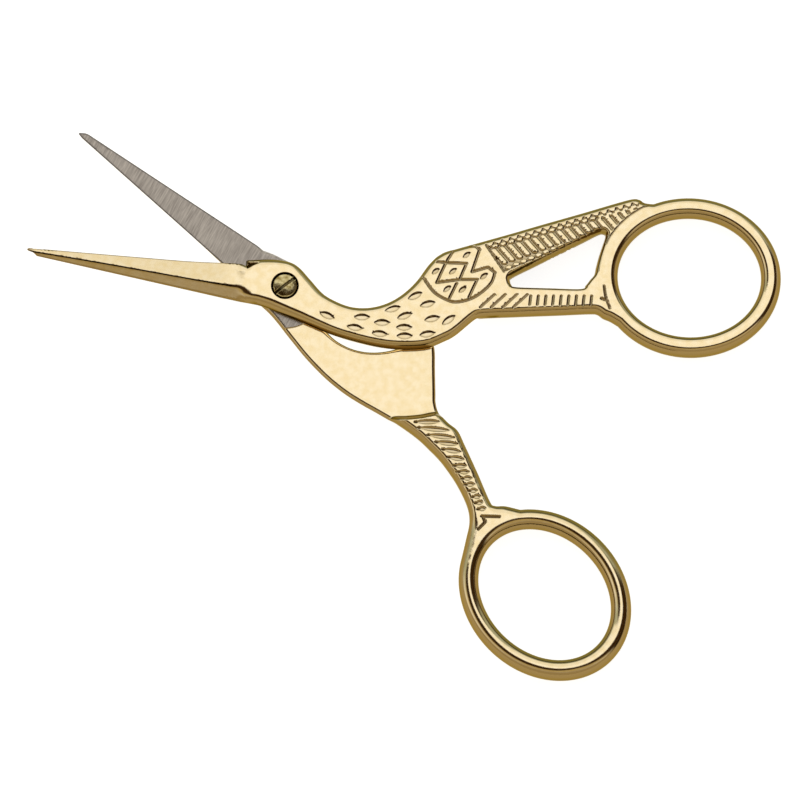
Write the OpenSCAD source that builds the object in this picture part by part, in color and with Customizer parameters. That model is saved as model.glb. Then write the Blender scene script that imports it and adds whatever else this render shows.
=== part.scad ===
// Embroidery scissors in the shape of a stork: two forged halves on a slotted pivot screw.
// X runs from the blade tips to the finger bows, Z is up, and the origin is the pivot axis on the table.
// Outlines are drawn for the closed scissors, with the upper half where it lies when open.

/* [Pose] */
// Angle between the blades as drawn
open_angle = 29.4; // [0:0.2:70]

/* [Thickness] */
// Thickness of each half at the pivot
half_t = 2.2; // [1.8:0.1:2.8]
// Gap between the ground inner faces
face_gap = 0.06; // [0.02:0.01:0.12]
// Width of the rounded border beside the flat outer faces
border_w = 0.95; // [0.7:0.05:1.05]
// Depth that the plated inner face lies below the ground riding face
inner_relief = 0.12; // [0.05:0.01:0.3]
// Gap between the shoulders of the two halves when closed
shoulder_gap = 0.3; // [0.15:0.05:0.6]

/* [Blades] */
// Length of a blade from its heel to its tip
blade_l = 33.6; // [24:0.2:44]
// Distance from the pivot to the heel of the blade
heel_x = 5.95; // [5.4:0.05:6.6]
// Height of the cutting edge above the pivot at the heel
heel_edge_y = 3.45; // [3:0.05:3.8]
// Width of a blade at its heel
heel_w = 5.7; // [5.2:0.1:6]
// Width of a blade beside its rounded tip
tip_w = 0.9; // [0.6:0.05:1.6]
// Height of the tip above the pivot
tip_y = 5.95; // [4:0.05:8]
// Thickness of a blade at its tip
tip_t = 0.55; // [0.4:0.05:1.2]
// Thickness left along the cutting edge
edge_t = 0.15; // [0.1:0.05:0.3]

/* [Finger bows] */
// Length of the upper bow's hole
bow_hole_l = 21.8; // [18:0.1:24]
// Width of the upper bow's hole
bow_hole_w = 18.6; // [16:0.1:21]
// Length of the lower bow's hole
low_hole_l = 22.6; // [18:0.1:24]
// Width of the lower bow's hole
low_hole_w = 18; // [16:0.1:20]
// Width of the bar round a hole
bow_bar = 3.15; // [2.6:0.05:3.4]

/* [Pivot] */
// Diameter of the screw's shank
shank_d = 2.6; // [2:0.1:3]
// Running clearance round the shank, on the diameter
shank_play = 0.06; // [0.04:0.01:0.12]
// Diameter of the screw's head
head_d = 3.9; // [3.4:0.1:4.6]
// Gap round the head in its recess, on the diameter
head_play = 0.3; // [0.2:0.02:0.6]
// Depth of the recess under the head
recess_h = 0.9; // [0.6:0.05:1.2]
// Rise of the domed head above the flat face
head_rise = 0.35; // [0.1:0.05:0.6]
// Width of the screwdriver slot
slot_w = 0.6; // [0.4:0.05:0.8]
// Depth of the screwdriver slot
slot_h = 0.55; // [0.3:0.05:0.7]
// Direction of the slot
slot_turn = 38; // [0:1:180]
// Radius of the ground riding face round the pivot
ride_r = 6.2; // [5.6:0.1:7]

/* [Hidden] */
eps = 0.01;
gold = "#E9C987";
brass = "#8A7A4A";
total_t = 2 * half_t;
front_z = half_t + face_gap / 2;
back_z = half_t - face_gap / 2;
far = 90;

// Upper edge of the neck, which both halves share. Each list of the lower edge has a point opposite each
// point of the list above it.
neck = [[4, 1.3], [6, -0.95], [8, -2.2], [10, -2.88], [12, -3.02], [14, -2.78], [16, -2.08], [18, -0.8], [20, 1.1]];
// Upper half: head, jaw and belly
head = [[-heel_x, 4.25], [-3, 4.42], [-0.8, 4.3], [1, 3.9], [2.4, 3.02]];
jaw = [[-heel_x, heel_edge_y - heel_w], [-4.2, -2.65], [-2.6, -3.2], [-1, -3.9], [0.4, -4.45]];
belly = [[2, -5.05], [3.6, -5.7], [5.4, -6.45], [7.4, -7.2], [9.5, -7.9], [12, -8.6], [14.4, -9.15],
    [16.8, -9.5], [19.5, -9.66]];
// Back and vent of the body, up to the root of wing and leg
back = [[22, 3.76], [24, 5.5], [26.4, 6.28], [28.6, 6.91], [30.2, 7.36], [32, 7.88]];
vent = [[22, -9.36], [24.1, -8.42], [26, -7.37], [28.7, -5.1], [29.7, -4.7], [32, -4.58]];
// Wing to its tip over the bow, and the window's edge under it
wing = [[35, 8.74], [38.8, 9.88], [42.5, 10.95], [46.2, 12.03], [50.3, 13.25], [53.4, 14.02], [54.8, 13.72]];
window_top = [[34.55, 1], [34.85, 1.7], [38.3, 3.45], [41.9, 5.27], [45.5, 7.1], [48, 8.4], [48.6, 8.55],
    [48.9, 8.25], [48.85, 7.6]];
// Foot of the leg, the window's edge above it, and the window's end beside the bow
foot = [[35, -4.47], [38.5, -4.33], [42, -4.2], [46.6, -4.04], [48, -4.34], [49.1, -5.07]];
window_foot = [[34.55, 1], [34.75, 0.5], [35.5, 0.22], [40.5, 0.1], [45.1, -0.05], [45.9, 0.4],
    [46.6, 1.3], [47.2, 2]];
window_end = [[47.5, 3.1], [47.95, 4.6], [48.4, 6.1]];
// Lower half: head, jaw and belly
low_head = [[-heel_x, 3.6], [-4.4, 3.72], [-2.2, 3.92], [0, 3.93], [2, 3.2]];
low_jaw = [[-heel_x, -2.9], [-4.6, -3.5], [-3, -3.85], [-1.2, -4.2], [0.4, -4.67]];
low_belly = [[2, -5.3], [3.6, -6], [5.4, -6.75], [7.4, -7.55], [9.5, -8.27], [12, -8.98], [14.4, -9.48],
    [16.8, -9.8], [19.5, -9.95]];
// Shoulder of its plate and upper edge of its leg, and the leg's lower edge
shoulder = [[21.1, 2.5], [22.1, 3.55], [23.1, 3.8], [23.95, 3.35], [24.7, 2.4], [26, 0.4], [28.1, -2.9],
    [28.9, -4.2], [30.1, -5.35]];
low_leg = [[32.1, -6.1], [34.1, -6.5], [36.1, -7.9], [40.1, -10.85], [43.8, -13.7], [44.8, -13.95], [46.2, -13.2]];
low_foot = [[20.7, -9.96], [21.7, -9.97], [22.6, -9.98], [23.5, -9.99], [24.4, -10.03], [25.7, -10.12],
    [27.2, -10.27], [28.6, -10.46], [30.1, -10.75], [31.7, -11.2], [33.4, -11.75], [35.2, -12.5],
    [38, -13.95], [40.9, -16], [42.6, -18], [43.5, -20.8]];
// Step up from the lower half's plate to its thick leg
step_line = [[30.1, -5.35], [29.4, -5.6], [28.1, -6.9], [26, -8.2], [24.4, -9.2], [23.4, -10.4]];

// Bows: centre, tilt and the two angles between which the outer edge is free, upper and lower half
bow_at = [62.03, 1.7];
bow_tilt = -2.5;
bow_free = [221, 474];
low_at = [58.2, -22.26];
low_tilt = -17.2;
low_free = [211, 508];
bow_n = 40;

// Curve through a list of points
function through(a, b, c, d, t) = 0.5 * (2 * b + (c - a) * t + (2 * a - 5 * b + 4 * c - d) * t * t
    + (3 * b - a - 3 * c + d) * t * t * t);
function smooth(p, n = 3) = [for (i = [0 : len(p) - 2]) for (k = [0 : n - 1])
    through(p[max(i - 1, 0)], p[i], p[i + 1], p[min(i + 2, len(p) - 1)], k / n), p[len(p) - 1]];
function blend(a, b, t) = a + (b - a) * t;
function backward(p) = [for (i = [len(p) - 1 : -1 : 0]) p[i]];
function range(n) = [for (i = [0 : n - 1]) i];

// Points of an oval at the given angles
function oval(at, tilt, l, w, angles) = [for (a = angles) let (u = l / 2 * cos(a), v = w / 2 * sin(a))
    at + [u * cos(tilt) - v * sin(tilt), u * sin(tilt) + v * cos(tilt)]];
function angles(span, n) = [for (k = [0 : n]) blend(span[0], span[1], k / n)];
function round_angles(span, more) = concat(angles(span, bow_n),
    [for (k = [1 : more]) blend(span[1], span[0] + 360, k / (more + 1))]);

// Closed outline moved inward, with the metal on its left
function inset(p, d) = let (n = len(p)) [for (i = [0 : n - 1])
    let (t = p[(i + 1) % n] - p[(i + n - 1) % n]) p[i] + d / norm(t) * [-t[1], t[0]]];

// Two triangles for each pair of neighbours in two rows of point numbers
function strip(a, b) = [for (i = [0 : len(a) - 2])
    each concat([[a[i], a[i + 1], b[i + 1]]], b[i] == b[i + 1] ? [] : [[a[i], b[i + 1], b[i]]])];
function flip(faces) = [for (f = faces) [f[0], f[2], f[1]]];
function shift(faces, d) = [for (f = faces) [for (v = f) v + d]];

// Forging with rounded borders, widest at half height. Its upper and lower edge run from the heel to the bow
// and share the first nb points with the body. A windowed one has the window's two edges, which start at one
// point and end on both sides of its end beside the bow.
module forging(top, low, nb, free, hole, up = [], down = [], end = []) {
    levels = [[1, 0], [0.32, 0.15], [0, 0.5], [0.32, 0.85], [1, 1]];
    windowed = len(up) > 0;
    nt = len(top);
    nl = len(low);
    nf = len(free);
    outer = concat(low, free, backward(top));
    window = windowed ? concat(up, backward(end), [for (i = [len(down) - 1 : -1 : 1]) down[i]]) : [];
    loops = windowed ? [outer, window, backward(hole)] : [outer, backward(hole)];
    lens = [for (l = loops) len(l)];
    total = windowed ? lens[0] + lens[1] + lens[2] : lens[0] + lens[1];
    starts = windowed ? [0, lens[0], lens[0] + lens[1]] : [0, lens[0]];
    nh = len(hole);
    h0 = starts[len(starts) - 1];
    low_i = range(nl);
    top_i = [for (i = range(nt)) nl + nf + nt - 1 - i];
    w0 = lens[0];
    nu = len(up);
    up_i = [for (i = range(nu)) w0 + i];
    down_i = windowed ? concat([w0], [for (i = [1 : len(down) - 1]) w0 + nu + len(end) + len(down) - 1 - i]) : [];
    root = [top_i[nt - 1], low_i[nl - 1]];
    beside = windowed ? concat([root[0], up_i[nu - 1]], [for (i = range(len(end) + 2)) up_i[nu - 1] + i],
        [down_i[len(down) - 1], root[1]]) : [root[0], root[0], root[1], root[1]];
    bow_i = concat([root[1]], [for (i = range(nf)) nl + i], [root[0]], beside);
    hole_i = [for (i = range(nh)) h0 + nh - 1 - i];
    cap = concat(
        strip([for (i = range(nb)) top_i[i]], [for (i = range(nb)) low_i[i]]),
        windowed ? concat([[top_i[nb - 1], w0, low_i[nb - 1]]],
            strip([for (i = [nb - 1 : nt - 1]) top_i[i]], up_i),
            strip(down_i, [for (i = [nb - 1 : nl - 1]) low_i[i]])) : [],
        strip(concat(hole_i, [hole_i[0]]), concat(bow_i, [bow_i[0]])));
    walls = [for (m = range(len(loops))) for (k = range(4)) for (i = range(lens[m]))
        let (a = starts[m] + i + k * total, b = starts[m] + (i + 1) % lens[m] + k * total)
        each [[a, a + total, b + total], [a, b + total, b]]];
    points = [for (l = levels) for (loop = loops) for (q = inset(loop, border_w * l[0])) [q[0], q[1], total_t * l[1]]];
    polyhedron(points, concat(walls, shift(cap, 4 * total), flip(cap)));
}

// Everything on the blade side of a line across the body, between two heights
module blade_side(line, gap, z0, z1) {
    translate([0, 0, z0]) linear_extrude(z1 - z0) offset(delta = gap)
        polygon(concat([[-far, far], [line[0][0], far]], smooth(line), [[line[len(line) - 1][0], -far], [-far, -far]]));
}

// Ground metal that the relief leaves standing: the riding face round the pivot, and the blade
module ground(z0, z1) {
    translate([0, 0, z0]) cylinder(r = ride_r, h = z1 - z0, $fn = 96);
    translate([-far, -far / 2, z0]) cube([far, far, z1 - z0]);
}

// One blade on z = 0 with its inner face on that plane: cutting edge, ridge and spine. Side is 1 for the
// upper blade, which cuts with its upper edge, and -1 for the lower one, which is that blade turned over.
module blade(side) {
    ridge_at = 0.345;
    n = 5;
    places = [-0.05, 0, 0.04, 0.08, 0.3, 0.6, 0.94, 0.985, 1];
    m = len(places);
    function nose(f) = f < 0.95 ? 1 : f < 0.99 ? 0.85 : 0.35;
    function rise(f) = max(0, min(1, (0.08 - f) / 0.13));
    function section(f) = let (mid = blend(heel_edge_y - heel_w / 2, tip_y, f), w = nose(f) * blend(heel_w, tip_w, f),
        t = blend(back_z, tip_t, max(f, 0)) - eps, bevel = blend(min(edge_t, t / 2), t * 0.8, rise(f)))
        [for (q = [[0, 0], [0.06, t * 0.4], [ridge_at, t], [0.99, bevel], [1, 0]])
            [-heel_x - blade_l * f, mid + side * w * (q[0] - 0.5), side * q[1]]];
    first = [for (k = [0 : n]) k % n];
    fan = [for (k = [1 : n - 2]) [0, k, k + 1]];
    polyhedron([for (f = places) each section(f)], concat(fan, flip(shift(fan, (m - 1) * n)),
        [for (i = range(m - 1)) each shift(flip(strip(first, first + [for (k = [0 : n]) n])), i * n)]));
}

// Upper half with its wing, window and leg, and lower half with its leg, both drawn closed
module upper_forging() {
    l = bow_hole_l + 2 * bow_bar;
    w = bow_hole_w + 2 * bow_bar;
    rim = oval(bow_at, bow_tilt, l, w, angles(bow_free, bow_n));
    forging(smooth(concat(head, neck, back, wing, [rim[bow_n]])), smooth(concat(jaw, belly, vent, foot, [rim[0]])),
        3 * (len(head) + len(neck) + len(back) - 1) + 1, [for (i = [1 : bow_n - 1]) rim[i]],
        oval(bow_at, bow_tilt, bow_hole_l, bow_hole_w, round_angles(bow_free, len(window_end) + 6)),
        smooth(window_top), smooth(window_foot), window_end);
}

module lower_forging() {
    rim = oval(low_at, low_tilt, low_hole_l + 2 * bow_bar, low_hole_w + 2 * bow_bar, angles(low_free, bow_n));
    top = smooth(concat(low_head, neck, shoulder, low_leg, [rim[bow_n]]));
    forging(top, smooth(concat(low_jaw, low_belly, low_foot, [rim[0]])), len(top),
        [for (i = [1 : bow_n - 1]) rim[i]],
        oval(low_at, low_tilt, low_hole_l, low_hole_w, round_angles(low_free, 4)));
}

module front_half() {
    color(gold) difference() {
        union() {
            difference() {
                upper_forging();
                difference() {
                    blade_side(shoulder, shoulder_gap, -1, front_z + inner_relief);
                    ground(front_z, total_t);
                }
            }
            translate([0, 0, front_z]) blade(1);
        }
        translate([0, 0, -1]) cylinder(d = shank_d + shank_play, h = total_t + 2, $fn = 48);
        translate([0, 0, total_t - recess_h]) cylinder(d = head_d + head_play, h = recess_h + 1, $fn = 48);
    }
}

module back_half() {
    color(gold) rotate(-open_angle) difference() {
        union() {
            difference() {
                lower_forging();
                difference() {
                    blade_side(step_line, 0, back_z - inner_relief, total_t + 1);
                    ground(0, back_z);
                }
            }
            translate([0, 0, back_z]) blade(-1);
        }
        translate([0, 0, -1]) cylinder(d = shank_d, h = total_t + 2, $fn = 48);
    }
}

module pivot_screw() {
    under = total_t - recess_h + face_gap / 2;
    color(brass) difference() {
        rotate_extrude($fn = 48) polygon([[0, 0.05], [shank_d / 2, 0.05], [shank_d / 2, under],
            [head_d / 2, under], [head_d / 2, total_t + head_rise * 0.3],
            [head_d * 0.36, total_t + head_rise * 0.8], [head_d * 0.16, total_t + head_rise], [0, total_t + head_rise]]);
        rotate(slot_turn) translate([-head_d, -slot_w / 2, total_t + head_rise - slot_h])
            cube([2 * head_d, slot_w, slot_h + 1]);
    }
}

front_half();
back_half();
pivot_screw();
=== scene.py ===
# %% [markdown]
# # Stork embroidery scissors
# Two forged, polished and gilt halves turn on a slotted brass screw, and the inner faces of the blades
# are ground back to bare steel. Each half is a plate with rounded borders, so it is worked out here as a
# map: for every point of its plan there is one height for the upper side and one for the lower side. The
# feathers, the badge, the wing and the ribs are a depth that is taken off those heights.
#
# The frame is loaded first. It gives the bodies that the pieces will ride on and the nodes that they will
# stand for.

import bpy
import numpy as np
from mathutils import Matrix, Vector
from mathutils.geometry import delaunay_2d_cdt


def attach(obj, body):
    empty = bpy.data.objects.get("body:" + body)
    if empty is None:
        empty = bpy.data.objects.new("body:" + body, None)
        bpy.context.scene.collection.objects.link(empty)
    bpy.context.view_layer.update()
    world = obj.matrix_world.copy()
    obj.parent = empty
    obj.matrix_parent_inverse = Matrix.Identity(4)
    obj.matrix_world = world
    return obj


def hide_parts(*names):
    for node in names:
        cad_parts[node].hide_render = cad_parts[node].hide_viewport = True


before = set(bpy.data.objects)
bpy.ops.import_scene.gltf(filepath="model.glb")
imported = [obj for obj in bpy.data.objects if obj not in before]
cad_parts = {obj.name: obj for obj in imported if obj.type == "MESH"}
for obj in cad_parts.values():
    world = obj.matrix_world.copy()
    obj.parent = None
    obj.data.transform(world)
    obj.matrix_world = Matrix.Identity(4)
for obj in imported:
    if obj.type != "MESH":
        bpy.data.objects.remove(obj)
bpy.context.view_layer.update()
MM = 0.001

# %% [markdown]
# ## Sizes
# Every length below is in millimetres. The origin is the pivot axis on the table, +X runs to the finger
# bows and +Z up. Both halves are drawn as they lie when the scissors are closed on the front half, because
# they share their necks then. The rear half is turned open at the end, and not point by point.

# %% Sizes
HALF_T = 2.2  # thickness of a half
PLAY = 0.03  # air on each side of the plane where the halves meet
FACE_Z = HALF_T - PLAY  # the outer face, measured from the inner one
OPEN = np.radians(29.4)  # how far the scissors stand open
RIDE_R = 6.2  # the round face at the pivot on which the halves ride
RELIEF = 0.12  # how far the inner face is hollowed outside it
BORDER_W, HEAD_BORDER_W, HEEL_BORDER_W, WINDOW_BORDER_W = 1.1, 1.4, 1.3, 0.72
FRONT_BOW_BORDER_W, REAR_BOW_BORDER_W = 1.2, 1.57
INNER_W = 0.6  # the inner face's rounded border
STEP_W = 1.25  # the slope from the rear half's plate up to its leg
HEEL_X, BLADE_L, TIP_W, TIP_T, EDGE_T, RIDGE_AT = 5.95, 33.6, 0.9, 0.55, 0.28, 0.345
BORE_R, SHANK_R, HEAD_R, RECESS_R, RECESS_Z, HEAD_TOP = 1.33, 1.3, 2.04, 2.1, 3.5, 4.74
STRIP_W = 2.5  # the strips that the distances are worked out in
ROUND = 0.3  # the rounding of a blade's ridge
print("each half is", HALF_T, "mm thick, and they stand open by", np.degrees(OPEN).round(1), "degrees")

# %% [markdown]
# ## Outlines
# On the real scissors the outline is the edge of a forging, trimmed and filed smooth. It could be drawn by
# hand with Bezier handles, but here a Catmull-Rom curve runs through a short list of points: it needs no
# handles, and both halves can use the same list for the neck that they share. The bows are ovals. A blade
# is two straight edges that close in on its tip.

# %% Curves


def smooth(points, n=6):
    """Catmull-Rom curve: between two points it is a cubic whose slope at each is half the step between
    that point's neighbours."""
    p = np.array(points, float)
    a, b, c, d = (p[np.clip(np.arange(len(p) - 1) + k, 0, len(p) - 1)][:, None] for k in (-1, 0, 1, 2))
    t = (np.arange(n) / n)[None, :, None]
    curve = b + 0.5 * ((c - a) * t + (2 * a - 5 * b + 4 * c - d) * t**2 + (3 * b - a - 3 * c + d) * t**3)
    return np.vstack([curve.reshape(-1, 2), p[-1:]])


def turned(points, angle):
    """Points turned about the pivot."""
    c, s = np.cos(angle), np.sin(angle)
    return points @ np.array([[c, s], [-s, c]])


def oval(at, tilt, size, first=360.0, last=0.0, n=181):
    """Points of a turned oval: half its length times cosine, half its width times sine."""
    a = np.radians(np.linspace(first, last, n))
    return np.array(at) + turned(np.c_[size[0] / 2 * np.cos(a), size[1] / 2 * np.sin(a)], np.radians(tilt))


def disc_edge(radius, n=73):
    """Clockwise circle round the pivot, without its repeated last point."""
    return oval((0, 0), 0, (2 * radius, 2 * radius), n=n)[:-1]


# %% Points along the outlines
NECK = [(3.92, 1.2), (5.88, -1.0), (7.9, -2.22), (9.97, -3.0), (12, -3.22), (14.06, -2.98), (16.12, -2.25),
        (18.17, -0.95), (20.15, 0.97)]
HEAD = [(-5.95, 4.25), (-3, 4.42), (-0.8, 4.3), (1, 3.88), (2.35, 2.98)]
BELLY = [(-4.2, -2.7), (-2.6, -3.2), (-1, -3.87), (0.4, -4.47), (2, -5.13), (3.6, -5.83), (5.35, -6.6),
         (7.3, -7.4), (9.42, -8.1), (11.95, -8.8), (14.37, -9.33), (16.8, -9.63), (19.5, -9.68), (22, -9.4),
         (24.2, -8.52), (26.1, -7.5), (28.8, -5.22), (29.8, -4.74), (32, -4.58)]
FOOT = [(35, -4.47), (38.5, -4.33), (42, -4.2), (46.6, -4.0), (47.8, -4.1), (48.7, -4.72), (49.8, -5.2)]
BACK = [(22.1, 3.62), (24.05, 5.37), (26.45, 6.14), (28.65, 6.77), (30.25, 7.22), (32.05, 7.74)]
WING = [(35.05, 8.6), (38.85, 9.74), (42.55, 10.81), (46.25, 11.89), (50.35, 13.13), (53.2, 13.9),
        (54.4, 13.8), (55.2, 13.3)]
WINDOW = [(34.55, 0.95), (34.85, 1.68), (38.3, 3.45), (41.9, 5.27), (45.5, 7.1), (48, 8.4), (48.7, 8.55),
          (49.08, 8.25), (49, 7.6), (48.5, 6.1), (48.02, 4.6), (47.63, 3.1), (47.38, 1.98), (46.75, 1.2),
          (46.05, 0.3), (45.3, -0.22), (40.5, -0.1), (35.5, 0.07), (34.75, 0.42), (34.55, 0.95)]
LOW_HEAD = [(-4.4, 3.93), (-2.2, 4.04), (0, 3.98), (2, 3.15)]
LOW_BELLY = [(-5.95, -2.9), (-4.6, -3.5), (-3, -3.85), (-1.2, -4.2), (0.4, -4.67), (2, -5.3), (3.6, -6),
             (5.4, -6.75), (7.4, -7.57), (9.5, -8.3), (12, -9.03), (14.4, -9.53), (16.8, -9.84),
             (19.5, -9.96)]
SHOULDER = [(21.1, 2.45), (22.1, 3.58), (23.2, 3.92), (24.15, 3.55), (24.95, 2.55), (26.12, 0.5),
            (28.12, -2.9), (28.9, -4.2), (30.1, -5.35)]
LOW_LEG = [(32.1, -6.1), (34.1, -6.5), (36.1, -7.9), (40.1, -10.85), (43.8, -13.7), (44.8, -13.95),
           (46.2, -13.2)]
LOW_FOOT = [(20.7, -9.96), (22.6, -9.98), (24.4, -10.03), (25.7, -10.12), (27.2, -10.27), (28.6, -10.46),
            (30.1, -10.75), (31.7, -11.2), (33.4, -11.7), (35.2, -12.43), (38, -13.88), (40.9, -15.93),
            (42.55, -17.97), (43.5, -20.8)]
STEP = [(31.2, -4.3), (30.1, -5.2), (29.4, -5.5), (27.7, -6.95), (26, -8.15), (24.3, -9.2), (23.4, -10.4),
        (22.9, -11.5)]
LOWER_SIDE = slice(59, 170)  # the outline's points from the blade's heel along the lower side to the leg
FRONT_BLADE = dict(heel_y=3.45, heel_w=5.82, tip_y=5.86, point=1)
REAR_BLADE = dict(heel_y=3.7, heel_w=5.95, tip_y=5.94, point=-1)
TIP = np.array([(-39.25, 0.43), (-39.5, 0.3), (-39.47, 0.12), (-39.1, -0.05), (-38.6, -0.27)])
FRONT_BOW = dict(hole_at=(62, 1.62), hole=(21.95, 18.7), rim_at=(62.03, 1.62), rim=(28.04, 24.9), tilt=-3.2)
REAR_BOW = dict(hole_at=(58.18, -22.24), hole=(22.55, 17.95), rim_at=(58.25, -22.28), rim=(28.84, 24.13),
                tilt=-17.3)
print("bows", FRONT_BOW["rim"], "and", REAR_BOW["rim"], "mm")

# %% [markdown]
# ### Closed outlines
# Each half is one closed loop with holes in it. The loop runs anticlockwise and the holes clockwise, so
# that the metal is always on the left side, which the offsets of the next steps rely on.

# %% Closed outlines of the two halves


def blade_middle(x, blade):
    """Middle line and width of a blade: both change evenly from its heel to its tip."""
    f = (-HEEL_X - x) / BLADE_L
    heel_middle = blade["heel_y"] - blade["heel_w"] / 2
    return heel_middle + (blade["tip_y"] - heel_middle) * f, blade["heel_w"] + (TIP_W - blade["heel_w"]) * f


def blade_line(blade, across, far_end=0.975, near_end=0.0):
    """A line along a blade at a share of its half width from the middle line."""
    x = -HEEL_X - BLADE_L * np.linspace(near_end, far_end, 60)
    middle, width = blade_middle(x, blade)
    return np.c_[x, middle + across * width / 2]


def ridge_share(f):
    """Share of the width between spine and ridge: it grows with the square of the way to the tip."""
    return RIDGE_AT + 0.2 * np.clip(f, 0, 1) ** 2


def ridge_line(blade, near_end=-0.03, far_end=0.97):
    """The ridge of a blade, as far as the net follows it. Its share of the width is counted from the spine,
    which is the edge away from the blade's point."""
    share = ridge_share(np.linspace(near_end, far_end, 60))
    return blade_line(blade, blade["point"] * (2 * share - 1), far_end, near_end)


def half_outline(blade, low, bow, rim_ends, high):
    """Outline of a half, run anticlockwise: lower edge of the blade, lower side, bow, upper side, upper
    edge of the blade and the tip, whose point is on the side of the cutting edge."""
    side = blade["point"]
    edge, back = blade_line(blade, side), blade_line(blade, -side, 0.955)
    nose = smooth([edge[-1], *(TIP * (1, side) + (0, blade["tip_y"])), back[-1]], 5)[1:-1]
    upper, lower = (edge, back)[::side]
    rim = oval(bow["rim_at"], bow["tilt"], bow["rim"], *rim_ends, 150)
    lower_side, upper_side = smooth(low + [rim[0]])[:-1], smooth(high + [rim[-1]])[-2::-1]
    return np.vstack([lower[::-1], lower_side, rim, upper_side, upper, nose[::side]])


FRONT = [half_outline(FRONT_BLADE, BELLY + FOOT, FRONT_BOW, (221, 476), HEAD + NECK + BACK + WING),
         smooth(WINDOW)[:-1],
         oval(FRONT_BOW["hole_at"], FRONT_BOW["tilt"], FRONT_BOW["hole"])[:-1]]
REAR = [half_outline(REAR_BLADE, LOW_BELLY + LOW_FOOT, REAR_BOW, (211, 508),
                     LOW_HEAD + NECK + SHOULDER + LOW_LEG),
        oval(REAR_BOW["hole_at"], REAR_BOW["tilt"], REAR_BOW["hole"])[:-1]]
print("points in the outlines", [len(loop) for loop in FRONT + REAR])

# %% [markdown]
# ## Distances
# The borders, grooves and steps of a forging all follow a line at some distance. Blender could bevel them
# one by one, but a bevel breaks where two of them meet, so one function measures the distance of many
# points to a line. It works through upright strips of the plan, and in each strip it looks only at the
# segments near it, because every point against every segment would take a minute.

# %% Distances


def strips(points, a, b, reach):
    """Numbers of the points in each strip, and which of the segments from a to b come near it."""
    place = np.floor(points[:, 0] / STRIP_W).astype(int)
    for k in np.unique(place):
        near = np.minimum(a[:, 0], b[:, 0]) < (k + 1) * STRIP_W + reach
        near &= np.maximum(a[:, 0], b[:, 0]) > k * STRIP_W - reach
        yield np.flatnonzero(place == k), near


def to_line(points, line, reach=3.0):
    """Distance to a line, up to `reach`: the foot of the perpendicular on each segment is kept between the
    segment's ends, and the least of the distances counts. The second result is the side, 1 on the left."""
    best, side = np.full(len(points), reach), np.ones(len(points))
    a, b = line[:-1], line[1:]
    for here, near in strips(points, a, b, reach):
        if near.any():
            gap, edge = points[here][:, None] - a[near], (b - a)[near]
            t = np.clip((gap * edge).sum(2) / (edge**2).sum(1), 0, 1)
            away = np.hypot(*np.moveaxis(gap - t[..., None] * edge, 2, 0))
            least = away.argmin(1)
            rows = np.arange(len(here))
            best[here] = np.minimum(reach, away[rows, least])
            gap = gap[rows, least]
            side[here] = np.sign(edge[least, 0] * gap[:, 1] - edge[least, 1] * gap[:, 0])
    return best, side


def inside(points, loop):
    """True where an upright ray from the point crosses the loop an odd number of times."""
    a, b = loop, np.roll(loop, -1, 0)
    result = np.zeros(len(points), bool)
    for here, near in strips(points, a, b, 0):
        p, q = a[near], b[near]
        x, y = points[here, 0][:, None], points[here, 1][:, None]
        spans = (p[:, 0] > x) != (q[:, 0] > x)
        run = np.where(q[:, 0] == p[:, 0], 1.0, q[:, 0] - p[:, 0])
        result[here] = (spans & (y < p[:, 1] + (x - p[:, 0]) * (q[:, 1] - p[:, 1]) / run)).sum(1) % 2 == 1
    return result


def to_loops(points, loops):
    """Distance to each loop in turn."""
    return np.array([to_line(points, np.vstack([loop, loop[:1]]))[0] for loop in loops])


def depth(points, loops):
    """Distance inside the metal, negative outside it."""
    metal = inside(points, loops[0])
    for loop in loops[1:]:
        metal &= ~inside(points, loop)
    return np.where(metal, 1, -1) * to_loops(points, loops).min(0)


def smoothstep(x, low, high):
    """0 below low, 1 above high, and 3t2 - 2t3 between them."""
    t = np.clip((x - low) / (high - low), 0, 1)
    return t * t * (3 - 2 * t)


def crown(rise):
    """Quarter of an oval: 0 on the outline, where it stands upright, and 1 from a rise of 1 inward."""
    return np.sqrt(1 - (1 - np.clip(rise, 0, 1)) ** 2)


# %% [markdown]
# ## From a plan to a closed skin
# A forging is one piece of metal without a seam. Subdivision and booleans could shape it, but cuts as
# shallow as these would need a very dense mesh everywhere. So the plan is filled with points where they are
# needed: rows that follow the outline where the border is rounded, rows beside each step, a coarse net
# elsewhere and a fine net where the relief is. A Delaunay triangulation joins them. The upper and lower
# skins share the outline's own points, so the piece is closed.

# %% Rows and nets of points
ROWS = np.array([0.012, 0.04, 0.09, 0.16, 0.25, 0.35, 0.46, 0.58, 0.7, 0.82, 0.94, 1.06, 1.18, 1.3, 1.42,
                 1.54, 1.68, 1.82])


def offset(line, distance, wrap=False):
    """A line moved sideways, to its left, by a distance."""
    step = np.roll(line, -1, 0) - np.roll(line, 1, 0) if wrap else np.gradient(line, axis=0)
    return line + distance * np.c_[-step[:, 1], step[:, 0]] / np.hypot(*step.T)[:, None]


def beside(lines, sides):
    """Rows of points beside lines where the height changes quickly."""
    return np.vstack([offset(line, side) for line in lines for side in sides])


def net(low, high, pitch):
    """Net of points between two corners, every second row moved by half a pitch."""
    x, y = np.meshgrid(np.arange(low[0], high[0], pitch), np.arange(low[1], high[1], pitch))
    x[1::2] += pitch / 2
    return np.c_[x.ravel(), y.ravel()]


# %% Triangles between the outlines
COARSE_PITCH, COARSE_FROM = 0.5, 1.85  # the coarse net starts where the rows end
FINE_FROM, FINE_ROWS = 0.3, 0.28  # in the fine net's area the rows end early
CLOSEST = 0.008  # no other point comes closer to the outline
WELD = 1e-5


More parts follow.
